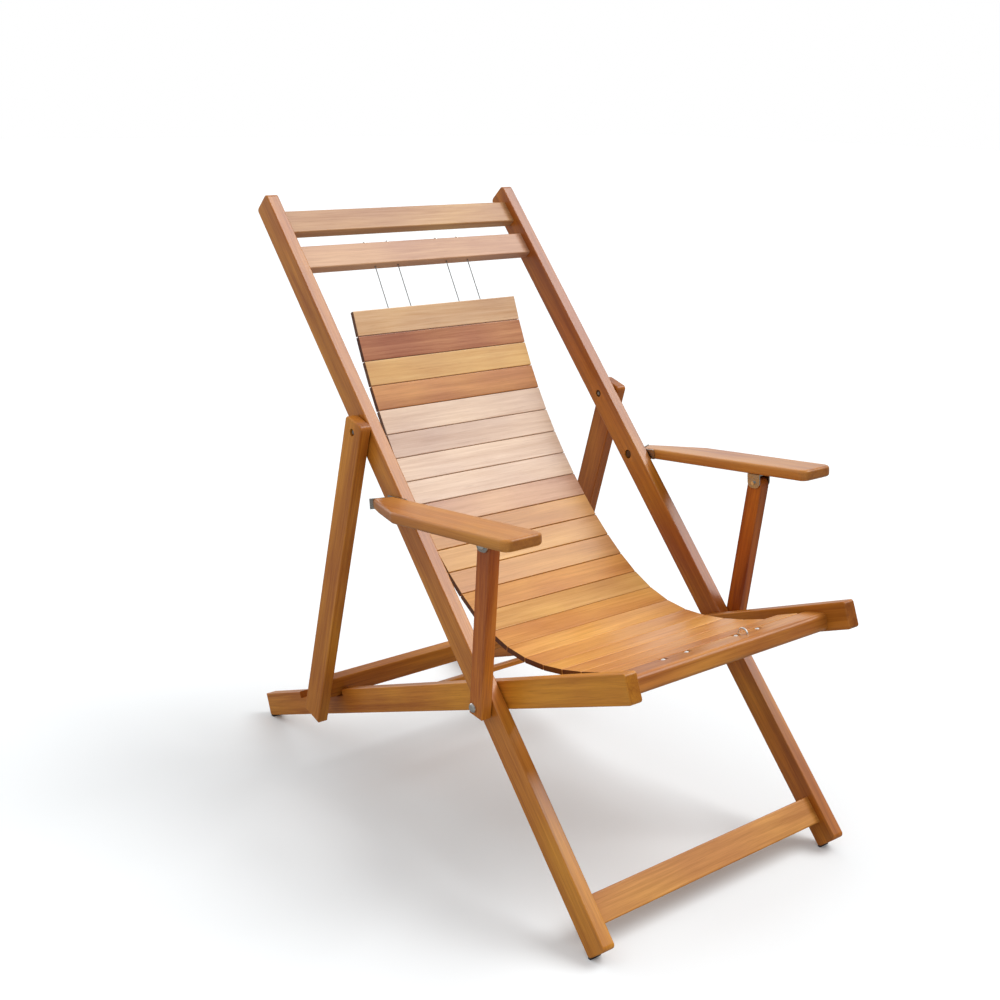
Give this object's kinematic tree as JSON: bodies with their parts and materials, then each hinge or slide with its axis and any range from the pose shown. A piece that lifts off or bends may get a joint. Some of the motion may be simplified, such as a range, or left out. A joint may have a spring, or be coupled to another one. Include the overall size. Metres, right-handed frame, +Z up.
{
  "type": "steamer deck chair",
  "caption": "Folding hardwood deck chair with a cable-hung slatted seat, arms on posts and a prop frame that sets the back in notches",
  "frame": {"origin": "on the floor under the middle of the outline", "axes": "+X across the chair to the sitter's left, -Y to the front where the sitter's feet are, +Z up"},
  "size_m": [0.6768, 1.0249, 1.0095],
  "materials": {
    "frame_wood": "satin varnish",
    "slat_wood": "satin varnish",
    "bolt_steel": "polished",
    "bracket_steel": "brushed",
    "steel_cable": "satin",
    "foot_rubber": "matte"
  },
  "bodies": {
    "long_frame": {"long_rail_left": "frame_wood", "long_rail_right": "frame_wood", "top_bar": "frame_wood", "cable_bar": "frame_wood", "front_foot_stretcher": "frame_wood", "arm_post_left": "frame_wood", "arm_post_right": "frame_wood", "arm_left": "frame_wood", "arm_right": "frame_wood", "arm_clevis_left": "bracket_steel", "arm_clevis_right": "bracket_steel", "arm_bracket_left": "bracket_steel", "arm_bracket_right": "bracket_steel", "main_pivot_bolts": "bolt_steel", "main_pivot_nuts": "bolt_steel", "main_pivot_washers": "bolt_steel", "prop_pivot_bolts": "bolt_steel", "prop_pivot_nuts": "bolt_steel", "prop_pivot_washers": "bolt_steel", "arm_rear_bolts": "bolt_steel", "arm_rear_nuts": "bolt_steel", "arm_hinge_bolts": "bolt_steel", "steel_cable_1": "steel_cable", "steel_cable_2": "steel_cable", "steel_cable_3": "steel_cable", "steel_cable_4": "steel_cable", "cable_sleeves": "bolt_steel", "front_foot_pads": "foot_rubber"},
    "seat_frame": {"seat_rail_left": "frame_wood", "seat_rail_right": "frame_wood", "front_crossbar": "frame_wood", "seat_batten": "frame_wood", "cable_beads": "bolt_steel", "cable_eye": "bolt_steel", "rear_foot_pads": "foot_rubber"},
    "prop_frame": {"prop_leg_left": "frame_wood", "prop_leg_right": "frame_wood", "prop_stretcher": "frame_wood"},
    "slat_01_body": {"slat_01": "slat_wood"},
    "slat_02_body": {"slat_02": "slat_wood"},
    "slat_03_body": {"slat_03": "slat_wood"},
    "slat_04_body": {"slat_04": "slat_wood"},
    "slat_05_body": {"slat_05": "slat_wood"},
    "slat_06_body": {"slat_06": "slat_wood"},
    "slat_07_body": {"slat_07": "slat_wood"},
    "slat_08_body": {"slat_08": "slat_wood"},
    "slat_09_body": {"slat_09": "slat_wood"},
    "slat_10_body": {"slat_10": "slat_wood"},
    "slat_11_body": {"slat_11": "slat_wood"},
    "slat_12_body": {"slat_12": "slat_wood"},
    "slat_13_body": {"slat_13": "slat_wood"},
    "slat_14_body": {"slat_14": "slat_wood"},
    "slat_15_body": {"slat_15": "slat_wood"},
    "slat_16_body": {"slat_16": "slat_wood"},
    "slat_17_body": {"slat_17": "slat_wood"},
    "slat_18_body": {"slat_18": "slat_wood"},
    "slat_19_body": {"slat_19": "slat_wood"},
    "slat_20_body": {"slat_20": "slat_wood"},
    "slat_21_body": {"slat_21": "slat_wood"}
  },
  "joints": [
    {"name": "seat_fold", "type": "hinge", "parent": "long_frame", "child": "seat_frame", "pos_m": [0, -0.22364, 0.30448], "axis": [1, 0, 0], "range_deg": [0, 69.1], "deforming": ["steel_cable_1", "steel_cable_2", "steel_cable_3", "steel_cable_4"]},
    {"name": "prop_swing", "type": "hinge", "parent": "long_frame", "child": "prop_frame", "pos_m": [0, 0.10432, 0.65988], "axis": [1, 0, 0], "range_deg": [0, 131.4]},
    {"name": "slat_hinge_01", "type": "hinge", "parent": "long_frame", "child": "slat_01_body", "pos_m": [0, 0.31669, 0.88899], "axis": [1, 0, 0], "range_deg": [-16.33, 0]},
    {"name": "slat_hinge_02", "type": "hinge", "parent": "slat_01_body", "child": "slat_02_body", "pos_m": [0, 0.26103, 0.77776], "axis": [1, 0, 0], "range_deg": [0, 0.79]},
    {"name": "slat_hinge_03", "type": "hinge", "parent": "slat_01_body", "child": "slat_03_body", "pos_m": [0, 0.2518, 0.75753], "axis": [1, 0, 0], "range_deg": [0, 1.48]},
    {"name": "slat_hinge_04", "type": "hinge", "parent": "slat_01_body", "child": "slat_04_body", "pos_m": [0, 0.242, 0.73757], "axis": [1, 0, 0], "range_deg": [0, 2.17]},
    {"name": "slat_hinge_05", "type": "hinge", "parent": "slat_01_body", "child": "slat_05_body", "pos_m": [0, 0.22107, 0.6993], "axis": [1, 0, 0], "range_deg": [0, 4.19]},
    {"name": "slat_hinge_06", "type": "hinge", "parent": "slat_01_body", "child": "slat_06_body", "pos_m": [0, 0.19875, 0.66103], "axis": [1, 0, 0], "range_deg": [0, 8.23]},
    {"name": "slat_hinge_07", "type": "hinge", "parent": "slat_01_body", "child": "slat_07_body", "pos_m": [0, 0.18139, 0.63258], "axis": [1, 0, 0], "range_deg": [0, 13.06]},
    {"name": "slat_hinge_08", "type": "hinge", "parent": "slat_01_body", "child": "slat_08_body", "pos_m": [0, 0.16856, 0.61223], "axis": [1, 0, 0], "range_deg": [0, 17.14]},
    {"name": "slat_hinge_09", "type": "hinge", "parent": "slat_01_body", "child": "slat_09_body", "pos_m": [0, 0.16072, 0.60013], "axis": [1, 0, 0], "range_deg": [0, 19.44]},
    {"name": "slat_hinge_10", "type": "hinge", "parent": "slat_09_body", "child": "slat_10_body", "pos_m": [0, 0.06103, 0.48627], "axis": [1, 0, 0], "range_deg": [0, 1.54]},
    {"name": "slat_hinge_11", "type": "hinge", "parent": "slat_09_body", "child": "slat_11_body", "pos_m": [0, 0.0397, 0.46649], "axis": [1, 0, 0], "range_deg": [0, 4.28]},
    {"name": "slat_hinge_12", "type": "hinge", "parent": "slat_09_body", "child": "slat_12_body", "pos_m": [0, 0.01611, 0.4456], "axis": [1, 0, 0], "range_deg": [0, 8.95]},
    {"name": "slat_hinge_13", "type": "hinge", "parent": "slat_09_body", "child": "slat_13_body", "pos_m": [0, -0.00628, 0.42672], "axis": [1, 0, 0], "range_deg": [0, 14.92]},
    {"name": "slat_hinge_14", "type": "hinge", "parent": "slat_09_body", "child": "slat_14_body", "pos_m": [0, -0.02648, 0.41074], "axis": [1, 0, 0], "range_deg": [0, 21.03]},
    {"name": "slat_hinge_15", "type": "hinge", "parent": "slat_14_body", "child": "slat_15_body", "pos_m": [0, -0.12116, 0.36148], "axis": [1, 0, 0], "range_deg": [0, 7.04]},
    {"name": "slat_hinge_16", "type": "hinge", "parent": "slat_14_body", "child": "slat_16_body", "pos_m": [0, -0.14371, 0.35462], "axis": [1, 0, 0], "range_deg": [0, 14.84]},
    {"name": "slat_hinge_17", "type": "hinge", "parent": "slat_14_body", "child": "slat_17_body", "pos_m": [0, -0.16395, 0.35023], "axis": [1, 0, 0], "range_deg": [0, 21.65]},
    {"name": "slat_hinge_18", "type": "hinge", "parent": "slat_14_body", "child": "slat_18_body", "pos_m": [0, -0.18014, 0.34788], "axis": [1, 0, 0], "range_deg": [0, 26.48]},
    {"name": "slat_hinge_19", "type": "hinge", "parent": "slat_18_body", "child": "slat_19_body", "pos_m": [0, -0.29673, 0.35853], "axis": [1, 0, 0], "range_deg": [0, 6.1]},
    {"name": "slat_hinge_20", "type": "hinge", "parent": "slat_18_body", "child": "slat_20_body", "pos_m": [0, -0.31805, 0.36336], "axis": [1, 0, 0], "range_deg": [0, 11.9]},
    {"name": "slat_hinge_21", "type": "hinge", "parent": "slat_18_body", "child": "slat_21_body", "pos_m": [0, -0.33745, 0.36806], "axis": [1, 0, 0], "range_deg": [0, 16.88]}
  ],
  "couplings": [
    {"joint": "prop_swing", "follows": "seat_fold", "ratio": 1.9},
    {"joint": "slat_hinge_01", "follows": "seat_fold", "ratio": -0.2349},
    {"joint": "slat_hinge_02", "follows": "seat_fold", "ratio": 0.01},
    {"joint": "slat_hinge_03", "follows": "seat_fold", "ratio": 0.02},
    {"joint": "slat_hinge_04", "follows": "seat_fold", "ratio": 0.03},
    {"joint": "slat_hinge_05", "follows": "seat_fold", "ratio": 0.0592},
    {"joint": "slat_hinge_06", "follows": "seat_fold", "ratio": 0.1176},
    {"joint": "slat_hinge_07", "follows": "seat_fold", "ratio": 0.1876},
    {"joint": "slat_hinge_08", "follows": "seat_fold", "ratio": 0.2466},
    {"joint": "slat_hinge_09", "follows": "seat_fold", "ratio": 0.2799},
    {"joint": "slat_hinge_10", "follows": "seat_fold", "ratio": 0.0209},
    {"joint": "slat_hinge_11", "follows": "seat_fold", "ratio": 0.0605},
    {"joint": "slat_hinge_12", "follows": "seat_fold", "ratio": 0.1281},
    {"joint": "slat_hinge_13", "follows": "seat_fold", "ratio": 0.2144},
    {"joint": "slat_hinge_14", "follows": "seat_fold", "ratio": 0.3029},
    {"joint": "slat_hinge_15", "follows": "seat_fold", "ratio": 0.1004},
    {"joint": "slat_hinge_16", "follows": "seat_fold", "ratio": 0.2133},
    {"joint": "slat_hinge_17", "follows": "seat_fold", "ratio": 0.3119},
    {"joint": "slat_hinge_18", "follows": "seat_fold", "ratio": 0.3817},
    {"joint": "slat_hinge_19", "follows": "seat_fold", "ratio": 0.0869},
    {"joint": "slat_hinge_20", "follows": "seat_fold", "ratio": 0.1708},
    {"joint": "slat_hinge_21", "follows": "seat_fold", "ratio": 0.2429}
  ]
}
